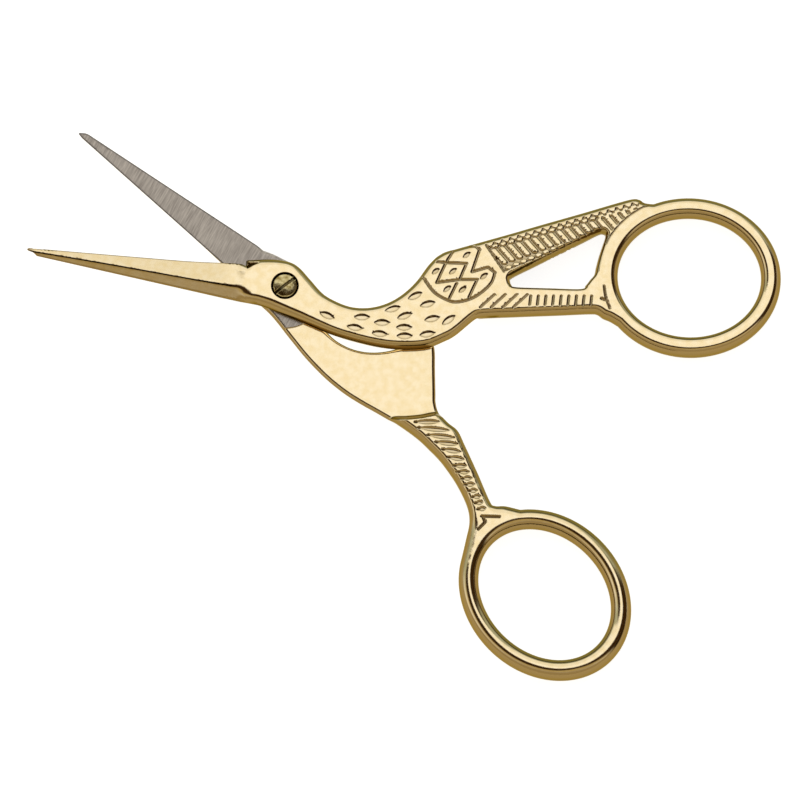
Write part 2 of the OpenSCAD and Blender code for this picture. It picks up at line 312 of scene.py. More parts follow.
def plan(loops, extra, fine, fine_pitch):
    """Points and triangles that fill the metal between the loops, and how many of the points are those of
    the loops. `fine` tells where the fine net goes. A row's point is dropped where another part of the
    outline is nearer than the row's own distance."""
    outline = np.vstack(loops)
    low, high = outline.min(0), outline.max(0)
    rows = np.vstack([offset(loop, w, True) for loop in loops for w in ROWS])
    target = np.concatenate([np.full(len(loop), w) for loop in loops for w in ROWS])
    d = depth(rows, loops)
    keep = (np.abs(d - target) < 0.02 * target + 0.003) & (~fine(rows) | (d < FINE_ROWS))
    coarse, small = net(low, high, COARSE_PITCH), net(low, high, fine_pitch)
    coarse = coarse[~fine(coarse)]
    small = small[fine(small)]
    inner = [rows[keep], coarse[depth(coarse, loops) > COARSE_FROM], small[depth(small, loops) > FINE_FROM],
             extra[depth(extra, loops) > CLOSEST]]
    start = np.cumsum([0] + [len(loop) for loop in loops])
    edges = [(s + k, s + (k + 1) % len(loop)) for s, loop in zip(start, loops) for k in range(len(loop))]
    points = [Vector(p) for p in np.vstack([outline] + inner).tolist()]
    verts, _, faces, _, _, _ = delaunay_2d_cdt(points, edges, [], 2, WELD)
    flat, tri = np.array(verts), np.array(faces)
    doubt = (tri < start[-1]).all(1)  # a triangle of three outline points may lie outside the metal
    keep = np.ones(len(tri), bool)
    keep[doubt] = depth(flat[tri[doubt]].mean(1), loops) > 0
    return flat, tri[keep], start[-1]


# %% Closed skin


def skin(name, points, tri, rim, top, bottom, mid, steel, steel_up, tarnish_and_shade):
    """Closed mesh from a plan and its heights. The first `rim` points are those of the outlines, and lie at
    the height `mid`. steel marks the points of the ground face, which is the upper skin where steel_up is
    1 and the lower one where it is 0. The last argument holds a value for the upper and one for the lower
    skin: the tarnish of the marks together with painted shade."""
    n = len(points)
    upper = np.c_[points, np.where(np.arange(n) < rim, mid, top)]
    number = np.where(np.arange(n) < rim, np.arange(n), np.arange(n) + n - rim)
    verts = np.vstack([upper, np.c_[points, bottom][rim:]]) * MM
    a, b, c = (points[tri[:, k]] for k in range(3))
    up = (b[:, 0] - a[:, 0]) * (c[:, 1] - a[:, 1]) > (b[:, 1] - a[:, 1]) * (c[:, 0] - a[:, 0])
    tri = np.where(up[:, None], tri, tri[:, ::-1])
    mesh = bpy.data.meshes.new(name)
    mesh.from_pydata(verts.tolist(), [], np.vstack([tri, number[tri[:, ::-1]]]).tolist())
    mesh.polygons.foreach_set("use_smooth", np.ones(2 * len(tri), bool))
    bare = steel[tri].all(1)
    index = np.r_[bare & (steel_up == 1), bare & (steel_up == 0)].astype(np.int32)
    mesh.polygons.foreach_set("material_index", index)
    layer = mesh.attributes.new("tarnish_and_shade", "FLOAT", "POINT")
    layer.data.foreach_set("value", np.r_[tarnish_and_shade[0], tarnish_and_shade[1][rim:]].astype(np.float32))
    mesh.update()
    mended = mesh.validate()
    obj = bpy.data.objects.new(name, mesh)
    bpy.context.scene.collection.objects.link(obj)
    print(name, 2 * len(tri), "triangles", "mended" if mended else "sound")
    return obj


# %% [markdown]
# ## Relief
# The real marks are cut and punched into the forging by hand. A bump texture could fake them, but it has
# no depth from the side and no edge that catches the light, so they are cut into the heights. The marks
# are shapes that are 1 where the metal is cut and 0 elsewhere. A groove follows a line. A dish is a
# pointed oval, hollow like the mark of a round-nosed punch. Polish turns dark where a cloth can't reach,
# so each mark also has a share of tarnish, which the gilding's material reads.

# %% Grooves and dishes


def groove(points, line, width):
    """1 on a line, falling to 0 at half the width from it."""
    return 1 - smoothstep(to_line(points, np.array(line, float))[0], 0.12 * width, width / 2)


def dish(points, at, angle, length, width):
    """1 in the middle of a pointed oval and 0 outside it. Across it the depth is 1 - s3, where s goes from
    0 on its axis to 1 on its edge, so its floor is flat and its rim steep."""
    u, v = turned(points - np.array(at), -np.radians(angle)).T
    reach = width / 2 * (1 - np.clip(np.abs(2 * u / length), 0, 1) ** 2.2)
    s = np.abs(v) / np.maximum(reach, 1e-6)
    return np.where(s < 1, 1 - s**3, 0) * (0.35 + 0.65 * reach / (width / 2))


def marked(shapes, cut, dark, rubbed=0.0):
    """Cut depth and tarnish of several shapes together. `rubbed` is the share of the tarnish that a cloth
    has taken off the floor of a wide mark, which leaves it along the rim."""
    shape = np.max(shapes, axis=0)
    darkening = smoothstep(shape, 0.05, 0.3) * (1 - rubbed * smoothstep(shape, 0.4, 0.9))
    return np.array([cut * shape, dark * darkening])


# %% Places and depths of the marks
# for each kind of mark: cut depth, share of tarnish and, where a cloth reaches the floor, the share rubbed
# off again
CUTS = {"feathers": (0.12, 0.7, 0.85), "badge": (0.2, 0.6), "dots": (0.1, 0.75, 0.55), "leg": (0.18, 0.5),
        "ticks": (0.16, 0.55), "toe": (0.2, 0.7), "wing": (0.2, 0.5), "ring": (0.12, 0.6),
        "ribs": (0.2, 0.3), "notches": (0.22, 0.9), "foot": (0.22, 0.85)}
BADGE_W, FEATHER_L, FEATHER_W, DOT_L, DOT_W, DOT_ANGLE = 0.48, 2.5, 1.05, 1.5, 0.74, 38
FEATHERS = [(6.46, -4.7, -22), (11.81, -4.97, 0), (16.5, -3.68, 15), (19.95, -1.64, 25), (21.87, -2.93, 15),
            (14.88, -5.83, 0), (18.34, -4.78, 20), (10.72, -6.6, -8), (14.52, -7.57, -6), (18.25, -6.58, 0),
            (22.55, -5.23, 12), (25.09, -5.42, 35), (18.34, -7.93, 0), (21.81, -7.63, 10)]
BADGE = [
    smooth([(21.17, 1.28), (22.91, -1.12), (25.26, -2.46), (26.79, -2.57), (28.79, -1.97), (30.55, -0.76),
            (31.72, 0.55), (32.19, 2.0)]),
    [(28.3, 6.2), (29.14, 6.17), (29.85, 5.59), (28.67, 2.11), (31.13, 2.83), (32.19, 2.0)],
    [(24.68, 3.55), (27.85, 3.42), (26.79, 0.91), (23.27, 0.43), (24.68, 3.55)],
    [(23.3, 3.72), (24.68, 3.55)],
    [(25.74, 5.3), (24.91, 3.91)],
    [(26.79, 0.91), (29.49, 0.91), (28.21, -1.85)],
    [(26.32, 0.3), (25.26, -1.97)],
]
DOTS = [(27.85, 4.76), (25.74, 2.23), (23.1, 2.23), (30.49, 1.45), (24.86, -0.53), (27.21, -0.65)]
LEG_MARKS = (29.95, 31.61, 33.39, 35.01)
TICKS = np.linspace(37.58, 46.93, 9)
print(len(FEATHERS), "feathers,", len(DOTS), "dots,", len(LEG_MARKS), "leg marks,", len(TICKS), "ticks")

# %% [markdown]
# ### Wing
# The wing is the other way round: its ground is sunk and its feathers stand up from it as small pads. They
# could be modelled one by one and copied along a curve. Here the remainder of a division by their pitch
# repeats them, so that their place, slope and number come from three values.

# %% Wing
WING_AT, WING_SLOPE, WING_PITCH = (31.3, 7.68), np.radians(16.1), 1.3
SCALLOP_U, KEY_U = 1.12, 0.56  # the first scallop and the first key, measured along the wing
KEY_SLANT, KEY_V = 0.46, 3.3  # the keys lean by this much, about this line
WINDOW_END_U = 17.2  # past it the keys run on to the bow and the blocks stop


def from_middle_of(u, start):
    """Distance along the wing from the middle of the nearest pad of a row that begins at start."""
    return (u - start + WING_PITCH / 2) % WING_PITCH - WING_PITCH / 2


def pad(u, v, size, soft, power=1.0):
    """1 inside an oval and 0 outside it. size holds its half axes, and soft where its rim begins and ends,
    as shares of them."""
    return 1 - smoothstep(np.hypot(u / size[0], v / size[1]) ** power, *soft)


def bow_share(points, bow):
    """Distance from the middle of a bow as a share of its rim's, measured along the same ray."""
    u, v = turned(points - np.array(bow["rim_at"]), -np.radians(bow["tilt"])).T
    return np.hypot(2 * u / bow["rim"][0], 2 * v / bow["rim"][1])


def wing_ground(points):
    """1 on the sunk ground of the wing and 0 on its raised pads. u runs along the wing and v down from its
    upper edge. The pads repeat every WING_PITCH: scallops along the edge, scales between them, long
    slanted keys, and short blocks over the window."""
    u, v = turned(points - np.array(WING_AT), -WING_SLOPE).T
    v = -v
    at_key = from_middle_of(u - KEY_SLANT * (v - KEY_V), KEY_U)
    key_top = 2.12 - 0.3 * smoothstep(u, 16.6, 17.4)  # past the window the keys begin higher
    key_end = np.where(u < WINDOW_END_U, 4.62 - 0.075 * u, 9)  # over the window they stop above the blocks
    past_key = np.maximum(np.maximum(key_top + 0.2 - v, v - key_end), 0)
    block_v = 5.66 - 0.118 * u  # the row of blocks follows the window's edge
    pads = pad(from_middle_of(u, SCALLOP_U), v - 0.9, (0.58, 0.72), (0.85, 1.05))
    pads += pad(from_middle_of(u, SCALLOP_U + WING_PITCH / 2), v - 1.72, (0.5, 0.3), (0.85, 1.1))
    pads += pad(at_key, past_key, (0.46, 0.3), (0.75, 1.1))
    pads += pad(at_key, v - block_v, (0.54, 0.34), (0.8, 1.15), 1.5) * smoothstep(WINDOW_END_U - u, 0, 0.5)
    field = smoothstep(u + 0.62 - 0.31 * (v - 1.17), 0, 0.15) * smoothstep(v, 0.92, 1.05)
    by_bow = (u > WINDOW_END_U) * smoothstep(v, block_v + 0.3, block_v + 0.42)
    field *= smoothstep(block_v + 0.42 - v, 0, 0.12) + by_bow
    field = np.clip(field, 0, 1) * smoothstep(to_line(points, FRONT[1])[0], 0.4, 0.55)
    field *= smoothstep(bow_share(points, FRONT_BOW), 1.0, 1.02)
    return field * (1 - np.clip(pads, 0, 1))


# %% Marks of the front half


def feathers(points):
    """Cut depth and tarnish of the feathers, which both halves carry."""
    shapes = [dish(points, (x, y), angle, FEATHER_L, FEATHER_W) for x, y, angle in FEATHERS]
    return marked(shapes, *CUTS["feathers"])


def deepest(shapes):
    """Cut depth and tarnish of several kinds of mark: where they meet, the larger value counts."""
    return np.max([marked(shape, *CUTS[kind]) for kind, shape in shapes.items()], axis=0)


def front_relief(points):
    """Cut depth and tarnish of all marks on the front half."""
    badge = [groove(points, line, BADGE_W) for line in BADGE]
    dots = [dish(points, at, DOT_ANGLE, DOT_L, DOT_W) for at in DOTS]
    leg = [groove(points, [(x, -3.45), (x + 2.15, -1.45)], 0.42) for x in LEG_MARKS]
    ticks = [groove(points, [(x - 0.08, -3.05), (x + 0.08, -1.65)], 0.4) for x in TICKS]
    toe = [groove(points, smooth([(48.91, -0.09), (49.15, -1.7), (49.8, -3.6)]), 0.36),
           groove(points, [(48.5, -2.05), (49.25, -2.3)], 0.5)]
    wing = [wing_ground(points), groove(points, [(30.85, 6.35), (33.6, 2.2)], 0.42)]
    ring_size = 0.988 * np.array(FRONT_BOW["rim"])
    ring = [groove(points, oval(FRONT_BOW["rim_at"], FRONT_BOW["tilt"], ring_size, 120, 160, 40), 0.3)]
    others = deepest(dict(badge=badge, dots=dots, leg=leg, ticks=ticks, toe=toe, wing=wing, ring=ring))
    return np.maximum(feathers(points), others)


# %% [markdown]
# ### Ribs of the rear half
# The leg of the rear half has ribs across it, filed from the outside in. Each is a dish, because a file
# that is rocked over a border cuts deepest in the middle and runs out at both ends.

# %% Marks of the rear half
RIBS = [
    (28.10, -8.71, 31.11, -6.96), (28.99, -9.27, 33.05, -7.45), (30.80, -9.55, 34.36, -8.05),
    (32.40, -9.94, 35.30, -8.65), (33.85, -10.42, 36.26, -9.48), (35.21, -11.06, 37.29, -10.28),
    (36.58, -11.80, 38.07, -11.01), (37.58, -12.33, 38.93, -11.61), (38.62, -12.93, 39.76, -12.22),
    (39.49, -13.54, 40.59, -12.85), (40.45, -14.12, 41.43, -13.48), (41.36, -14.70, 42.34, -14.03),
    (42.21, -15.32, 43.09, -14.68), (43.04, -15.95, 43.93, -15.29),
]
FOOT_MARK = [
    (44.00, -16.69, 46.40, -15.43), (44.28, -16.72, 44.93, -17.25), (44.93, -17.25, 44.53, -18.73),
]
print(len(RIBS), "ribs")


def rear_relief(points):
    """Cut depth and tarnish of the ribs down the leg and of the mark under them. Each rib is a dish with a
    dark notch at its outer end, where the file ran over the border."""
    ribs, notches = [], []
    for ax, ay, bx, by in RIBS:
        a, b = np.array((ax, ay)), np.array((bx, by))
        angle = np.degrees(np.arctan2(*(b - a)[::-1]))
        ribs.append(dish(points, (a + b) / 2, angle, 1.12 * np.hypot(*(b - a)), 0.8))
        notches.append(dish(points, a - 0.04 * (b - a), angle, 0.7, 0.4))
    foot = [groove(points, [(ax, ay), (bx, by)], 0.5) for ax, ay, bx, by in FOOT_MARK]
    return deepest(dict(ribs=ribs, notches=notches, foot=foot))


# %% Where the net has to be fine
LEVEL_STEP = 0.002  # a change of height in mm from one point of the grid to the next that needs no fine net


def zone(relief, low, high, pitch=0.08):
    """Where the relief changes within a short way, so that the fine net is needed. It is looked up in a
    grid of the relief's own steepness, worked out once between two corners."""
    x, y = np.arange(low[0], high[0], pitch), np.arange(low[1], high[1], pitch)
    spots = np.stack(np.meshgrid(x, y, indexing="ij"), -1).reshape(-1, 2)
    steep = np.hypot(*np.gradient(relief(spots)[0].reshape(len(x), len(y)))) > LEVEL_STEP
    steep[1:-1, 1:-1] |= steep[2:, 1:-1] | steep[:-2, 1:-1] | steep[1:-1, 2:] | steep[1:-1, :-2]

    def fine(points):
        cell = ((points - (x[0], y[0])) / pitch).round().astype(int)
        known = ((cell >= 0) & (cell < steep.shape)).all(1)
        return known & steep[tuple(np.clip(cell, 0, np.array(steep.shape) - 1).T)]

    return fine


# %% [markdown]
# ## Heights
# A real blade is ground from the thick bar of its forging, which leaves a ridge. On one side of it a facet
# falls to the spine, on the other the ground bevel falls to the cutting edge, and towards the pivot that
# bevel flattens out into the head. The body has a flat top and a border that falls off as a quarter of an
# oval. Separate meshes for blade and body would show a seam, so both heights are worked out for every
# point and blended. Heights are measured from the inner face outward.

# %% Height of a blade
TIP_X, TIP_SLOPE = -39.55, 1.4  # where the point is as thin as the edge, and how fast it thickens
SPINE_SHARE = 0.38  # the spine's thickness as a share of the ridge's
EDGE_GAIN = 0.17  # what the cutting edge gains in thickness on its way to the tip
BEVEL_X = (4.5, 17)  # the bevel grows to its full slope between these distances from the pivot
RIDGE_SHADE_X = (-8.5, -6.5)  # the painted shade of the ridge ends between them, at the head


def left_of(points, line):
    """Distance to a line, positive on its left. The line is made so long that it cuts the plan in two."""
    ends = line[0] + 1000 * (line[0] - line[1]), line[-1] + 1000 * (line[-1] - line[-2])
    distance, side = to_line(points, np.vstack([ends[0], line, ends[1]]), 1000.0)
    return distance * side


def blade_height(points, blade):
    """Height of a blade above its inner face. The thickness on the ridge falls evenly to the tip. The height
    is the lower of the two facets, less ROUND / 4 where they meet, which rounds the ridge."""
    x, y = points.T
    middle, width = blade_middle(x, blade)
    across = width / 2 + blade["point"] * (y - middle)
    f = np.clip((-HEEL_X - x) / BLADE_L, 0, 1)
    thick = FACE_Z + (TIP_T - FACE_Z) * f
    ridge = ridge_share(f) * width
    lean = (thick - EDGE_T - EDGE_GAIN * f) / (width - ridge) * smoothstep(-x, *BEVEL_X)
    spine_side = thick * (SPINE_SHARE + (1 - SPINE_SHARE) * np.maximum(across, 0) / ridge)
    edge_side = thick - lean * (across - ridge)
    overlap = np.maximum(1 - np.abs(spine_side - edge_side) / ROUND, 0)
    height = np.minimum(spine_side, edge_side) - ROUND / 4 * overlap**2
    return np.minimum(height, EDGE_T + TIP_SLOPE * np.maximum(x - TIP_X, 0))


def painted_ridge_shade(points, blade):
    """Painted shade on the spine's side of the ridge, standing in for the dark band that the rounded ridge
    reflects: from 1 on the ridge to 0 at ROUND from it.
    """
    x, y = points.T
    middle, width = blade_middle(x, blade)
    across = width / 2 + blade["point"] * (y - middle) - ridge_share((-HEEL_X - x) / BLADE_L) * width
    return (across < 0.04) * (1 - smoothstep(-across, 0.6 * ROUND, ROUND)) * (1 - smoothstep(x, *RIDGE_SHADE_X))


# %% Heights of a half
FACETS_X = (-7.8, -4.9)  # between them the blade's facets turn into the rounded head
THIN_EDGE_X = (-7.2, -5.9)  # between them the blade's thin edge turns into the head's border
EDGE_MID, EDGE_W, INNER_EDGE_W = 0.07, 0.06, 0.03  # height of a blade's outline and width of its roundings
GROUND_X = -4  # the ground face runs on from the riding face to the tip from here
GROUND_FROM = 0.3  # and keeps this distance from the lower side of the head


def border_rise(points, loops, bow, bow_border, low_distance):
    """How far a point is inside the outline, as a share of the border's width. The border is wider at the
    heel, under the head and on the bow, the holes have borders of their own widths, and the least of the
    shares counts. The second result holds the distances to the loops."""
    x, y = points.T
    d = to_loops(points, loops)
    on_bow = 1 - smoothstep(bow_share(points, bow), 1.0, 1.12)
    heel = (1 - smoothstep(x, -4, 1)) * smoothstep(y, 1, 3)
    width = BORDER_W + (bow_border - BORDER_W) * on_bow + (HEEL_BORDER_W - BORDER_W) * heel
    low_width = BORDER_W + (HEAD_BORDER_W - BORDER_W) * (1 - smoothstep(x, -1, 10))
    shares = [d[0] / width, d[-1] / bow_border, low_distance / low_width]
    shares += [hole / WINDOW_BORDER_W for hole in d[1:-1]]
    return np.min(shares, axis=0), d


def half(points, loops, blade, bow, bow_border, mid_plate, full):
    """Heights of a half above its inner face: outer side, inner side and outline, and where it is ground.
    `full` is 1 where the half takes up the whole thickness, as on its bow, and mid_plate is the height of
    the outline elsewhere. From it the sides rise to the faces as quarters of an oval."""
    x, y = points.T
    low_distance = to_line(points, loops[0][LOWER_SIDE])[0]
    rise, d = border_rise(points, loops, bow, bow_border, low_distance)
    on_blade, thin = 1 - smoothstep(x, *FACETS_X), 1 - smoothstep(x, *THIN_EDGE_X)
    mid = (1 - full) * (mid_plate * (1 - thin) + EDGE_MID * thin) - PLAY * full
    body = mid + (FACE_Z - mid) * crown(rise)
    facet = mid + (blade_height(points, blade) - mid) * crown(d[0] / EDGE_W)
    from_pivot = np.hypot(x, y)
    step = RELIEF * smoothstep(from_pivot, RIDE_R - 0.04, RIDE_R + 0.04) * (x > GROUND_X)
    inner = mid + (step - mid) * crown(d.min(0) / (INNER_W * (1 - thin) + INNER_EDGE_W * thin))
    deep = mid + (-FACE_Z - 2 * PLAY - mid) * crown(rise)
    ground = ((from_pivot < RIDE_R) | (x < GROUND_X)) & (full < 0.5)
    ground &= (low_distance > GROUND_FROM) | (thin > 0.5)
    return (1 - on_blade) * body + on_blade * facet, (1 - full) * inner + full * deep, mid, ground


# %% [markdown]
# ## The front half
# It carries the wing, the badge, the recess for the screw head and a notch at the heel of its blade. A
# few darker places are drawn too, in the same attribute as the tarnish: a darker strip along the blade's
# edge and point, and painted shade in the recess, in the notch, along the ridge and along the lower border.

# %% Darkened places of the front half: a darker blade edge and painted shade


def dark_blade_edge(points):
    """A darker share along the blade's outline, and a larger one at its point."""
    x = points[:, 0]
    edge = 0.4 * (1 - smoothstep(to_loops(points, FRONT[:1])[0], 0.12, 0.24)) * (x < -HEEL_X)
    return np.maximum(edge, 0.6 * smoothstep(-x, 38.0, 39.2))


def painted_border_shade(points):
    """Painted shade in a fine line along the lower outline, under the head and under the leg, standing in
    for the floor's shadow that the lower sides mirror: 1 on the outline, 0 from 0.13 inside.
    """
    x = points[:, 0]
    under_head = smoothstep(x, -5, -4) * (1 - smoothstep(x, 4, 7))
    under_leg = smoothstep(x, 30.5, 31.5) * (1 - smoothstep(x, 48, 50))
    line = 1 - smoothstep(to_line(points, FRONT[0][LOWER_SIDE])[0], 0.05, 0.13)
    return 0.92 * line * (under_head + under_leg)


def heel_notch(points):
    """1 in the notch at the heel of the blade: the corner between a sloping line and a level one."""
    x, y = points.T
    notch = smoothstep(y - 2.7 - 0.49 * (x + 5.85), -0.08, 0.12) * (1 - smoothstep(y - 3.62, -0.05, 0.12))
    return notch * smoothstep(x, -5.82, -5.72) * (x < -3)


# %% Plan of the front half
ride_arc = disc_edge(RIDE_R, 201)
shoulder = offset(smooth(SHOULDER[3:]), 0.3)
STEP_SIDES = (-0.11, -0.06, -0.02, 0.02, 0.06, 0.11)
RIDGE_SIDES = (-0.34, -0.26, -0.18, -0.11, -0.05, 0, 0.05, 0.11, 0.18, 0.26)
FINE_PITCH = 0.105
HEEL_ZONE = (-9, -3.2)
front_zone = zone(front_relief, (4, -10), (57, 15))


def near_relief(points):
    """The fine net lies round the relief and where the blade grows out of the head."""
    return front_zone(points) | ((points[:, 0] > HEEL_ZONE[0]) & (points[:, 0] < HEEL_ZONE[1]))


flat_plan, tri, rim = plan(
    FRONT + [disc_edge(BORE_R)],
    np.vstack([beside([ridge_line(FRONT_BLADE)], RIDGE_SIDES),
               beside([shoulder, ride_arc], STEP_SIDES), beside([disc_edge(RECESS_R)], (-0.04, 0, 0.04))]),
    near_relief, FINE_PITCH)
print("front half", len(flat_plan), "points in its plan")

# %% Front half
NOTCH_D, FRONT_MID = 0.3, 0.35
full = smoothstep(left_of(flat_plan, shoulder), -0.05, 0.05)
outer, inner, mid, ground = half(flat_plan, FRONT, FRONT_BLADE, FRONT_BOW, FRONT_BOW_BORDER_W,
                                 FRONT_MID, full)
cut, dark = front_relief(flat_plan)
recess = 1 - smoothstep(np.hypot(*flat_plan.T), RECESS_R - 0.02, RECESS_R + 0.02)
notch = heel_notch(flat_plan)
front_z = HALF_T + PLAY
top = (front_z + outer - cut - NOTCH_D * notch) * (1 - recess) + RECESS_Z * recess
# tarnish of the marks, painted shade in the recess round the screw head and in the heel notch, the painted
# ridge and border shade, and the darker blade edge
darkening = np.max([dark, 0.8 * recess, notch, painted_ridge_shade(flat_plan, FRONT_BLADE), dark_blade_edge(flat_plan),
                painted_border_shade(flat_plan)], axis=0)
front = skin("front_forging", flat_plan, tri, rim, top, front_z + inner + cut * full, front_z + mid,
             ground, 0, (darkening, dark * full))

# %% [markdown]
# ## The rear half
# It lies with its outer face down and is turned by the opening angle. Its plate is half as thick as its
# leg, and a slope leads from one to the other. It could be the front half mirrored, but its leg and the
# shoulder of its plate are its own, so it gets its own outline and the same functions. The feathers are
# cut into its outer face too, so that the closed scissors show the same bird from both sides.

# %% Plan of the rear half
step_line = smooth(STEP)
flat_plan, tri, rim = plan(
    REAR + [disc_edge(SHANK_R)],
    np.vstack([beside([ridge_line(REAR_BLADE)], RIDGE_SIDES),
               beside([step_line], (0, 0.05, 0.15, 0.4, 0.65, 0.9, 1.1, 1.2, 1.25, 1.3)),
               beside([ride_arc], STEP_SIDES)]),
    zone(rear_relief, (22, -22), (50, -2)), FINE_PITCH)
print("rear half", len(flat_plan), "points in its plan")

# %% Rear half
REAR_MID = 0.75
full = smoothstep(left_of(flat_plan, step_line), 0, STEP_W)
outer, inner, mid, ground = half(flat_plan, REAR, REAR_BLADE, REAR_BOW, REAR_BOW_BORDER_W, REAR_MID, full)
cut, dark = rear_relief(flat_plan)
cut *= full > 0.95
feather_cut, feather_dark = feathers(flat_plan)
# darker along the steel blade's outline, from 0.1 to 0.27 mm inside it
dark_steel_rim = 0.8 * (1 - smoothstep(to_loops(flat_plan, REAR[:1])[0], 0.1, 0.27))
dark_steel_rim *= flat_plan[:, 0] < -HEEL_X
rear_z = HALF_T - PLAY
bottom = rear_z - outer + cut + feather_cut
# tarnish of the ribs and feathers, and the painted shade of the ridge
darkening = np.max([dark, feather_dark, painted_ridge_shade(flat_plan, REAR_BLADE)], axis=0)
rear = skin("rear_forging", turned(flat_plan, -OPEN), tri, rim, rear_z - inner - cut, bottom, rear_z - mid,
            ground, 1, (np.maximum(dark, dark_steel_rim), darkening))

# %% [markdown]
# ## The screw
# The real screw is turned from brass rod, and a saw cuts its slot. A lathe shape with a boolean cut would
# do, but the functions for the halves can make it too: a low dome with a slot turned at an angle. The head
# sits in the recess and its shank passes through both halves, so the piece is closed by a lower skin with
# a step at the shank.

# %% Screw
SLOT_ANGLE, SLOT_W, SLOT_D = 37.5, 0.4, 0.4
HEAD_MID, HEAD_UNDER, SHANK_END = 3.7, RECESS_Z + 0.03, 0.05
DOME_H, DOME_EDGE, SCREW_PITCH = 0.4, 0.16, 0.075
slot_ends = turned(np.array([(-HEAD_R, 0), (HEAD_R, 0)]), np.radians(SLOT_ANGLE))
slot_line = slot_ends[0] + np.linspace(0, 1, 60)[:, None] * (slot_ends[1] - slot_ends[0])
flat_plan, tri, rim = plan(
    [disc_edge(HEAD_R, 145)],
    np.vstack([beside([slot_line], (-0.25, -0.2, -0.17, 0.17, 0.2, 0.25)),
               beside([disc_edge(SHANK_R + 0.003)], (-0.003, 0.003))]),
    lambda points: np.hypot(*points.T) < HEAD_R - FINE_FROM, SCREW_PITCH)
r = np.hypot(*flat_plan.T)
slot = 1 - smoothstep(to_line(flat_plan, slot_line)[0], SLOT_W / 2 - 0.03, SLOT_W / 2 + 0.03)
dome = HEAD_TOP - DOME_H * (r / HEAD_R) ** 2 - DOME_EDGE * (1 - crown((HEAD_R - r) / DOME_EDGE))
under = np.where(r < SHANK_R + 0.001, SHANK_END, HEAD_UNDER)
# the slot is painted dark: painted shade inside it
screw = skin("slotted_screw", flat_plan, tri, rim, dome - SLOT_D * slot, under, HEAD_MID,
             np.zeros(len(r), bool), 0, (0.8 * slot, np.zeros(len(r))))

# %% [markdown]
# ## Camera
# Small things are photographed from far away with a long lens, which keeps the two bows at the same scale
# as the blades. The camera leans 12 degrees from upright towards the lower bow. The distance makes one
# millimetre 6.52 picture points wide.

# %% Camera
LENS, SENSOR, TILT, SCALE = 1500, 36, np.radians(12), 6.52
PICTURE_W, AIM_X, AIM_DOWN = 800, 17.64, 16.64
camera = bpy.data.objects.new("camera", bpy.data.cameras.new("camera"))
camera.data.lens, camera.data.sensor_width = LENS, SENSOR
camera.data.clip_start = 0.05
distance = PICTURE_W / SCALE * MM * LENS / SENSOR
aim = np.array((AIM_X, 0, 0)) - AIM_DOWN * np.array((0, np.cos(TILT), np.sin(TILT)))
camera.location = aim * MM + distance * np.array((0, -np.sin(TILT), np.cos(TILT)))
camera.rotation_euler = (TILT, 0, 0)
bpy.context.scene.collection.objects.link(camera)
bpy.context.scene.camera = camera
print("camera", round(distance, 2), "m away")

# %% [markdown]
# ## Materials
# Colours are written as hex codes and turned into linear light. A pattern's scale is its number of waves in
# a metre, so a pattern with waves 0.4 mm long has a scale of 2500. The patterns lie on object coordinates,
# which keeps them at that size on every piece. The node trees could be built by hand in the shader editor,
# but a line of code for each node can be read, copied and changed.

# %% Colours and nodes


def colour(code):
    """sRGB hex to linear: v / 12.92 near black and ((v + 0.055) / 1.055) ** 2.4 above."""
    v = np.array([int(code[k : k + 2], 16) for k in (1, 3, 5)]) / 255
    return (*np.where(v < 0.04045, v / 12.92, ((v + 0.055) / 1.055) ** 2.4), 1.0)


def add(tree, kind, sockets=(), **settings):
    """A node with its settings. Each of the sockets is a name or number with a value to set, or with an
    output to link to it."""
    node = tree.nodes.new(kind)
    for name, value in settings.items():
        setattr(node, name, value)
    for name, source in sockets:
        if isinstance(source, bpy.types.NodeSocket):
            tree.links.new(source, node.inputs[name])
        else:
            node.inputs[name].default_value = source
    return node


def new_material(name):
    """An empty node material and its tree."""
    material = bpy.data.materials.new(name)
    material.use_nodes = True
    material.node_tree.nodes.clear()
    return material, material.node_tree


# %% [markdown]
# ### Polished gilding
# A thin coat of gold, polished on forged metal. The flats are pale, and the rounded sides are given a
# deeper tone: that is painted shade and painted reflection, which stand in for the darker room and floor
# that the sides mirror. Waves 4 mm long bend the reflections a little, as hammer work does. A grain of
# 0.5 mm breaks them up: polishing grit is far finer, but would not show at this size.

# %% Polished gilding: waves and grain
gilt, tree = new_material("polished_gilding")
place = add(tree, "ShaderNodeTexCoord")
wave = add(tree, "ShaderNodeTexNoise",
           [("Vector", place.outputs["Object"]), ("Scale", 260.0), ("Detail", 2.0)])
rub = add(tree, "ShaderNodeTexNoise",
          [("Vector", place.outputs["Object"]), ("Scale", 900.0), ("Detail", 3.0)])
fine = add(tree, "ShaderNodeTexNoise",
           [("Vector", place.outputs["Object"]), ("Scale", 2200.0), ("Detail", 2.0)])
heap = add(tree, "ShaderNodeMath", [(0, wave.outputs["Fac"]), (1, 6.0), (2, fine.outputs["Fac"])],
           operation="MULTIPLY_ADD")
bump = add(tree, "ShaderNodeBump", [("Height", heap.outputs[0]), ("Strength", 0.5), ("Distance", 0.00001)])
rough = add(tree, "ShaderNodeMapRange", [("Value", wave.outputs["Fac"]), ("To Min", 0.1), ("To Max", 0.16)])

# %% [markdown]
# The colour follows the direction of the surface. Where it lies level it has the pale tone, in patches of
# 1 mm where the gold is thicker. The sides get painted shade: a bronze tone towards the camera and a
# greener one away from it, a painted reflection of the olive far side. Last, the tarnish that was drawn
# with the relief fills the cuts with brown, and the painted shade drawn with it darkens a few places.

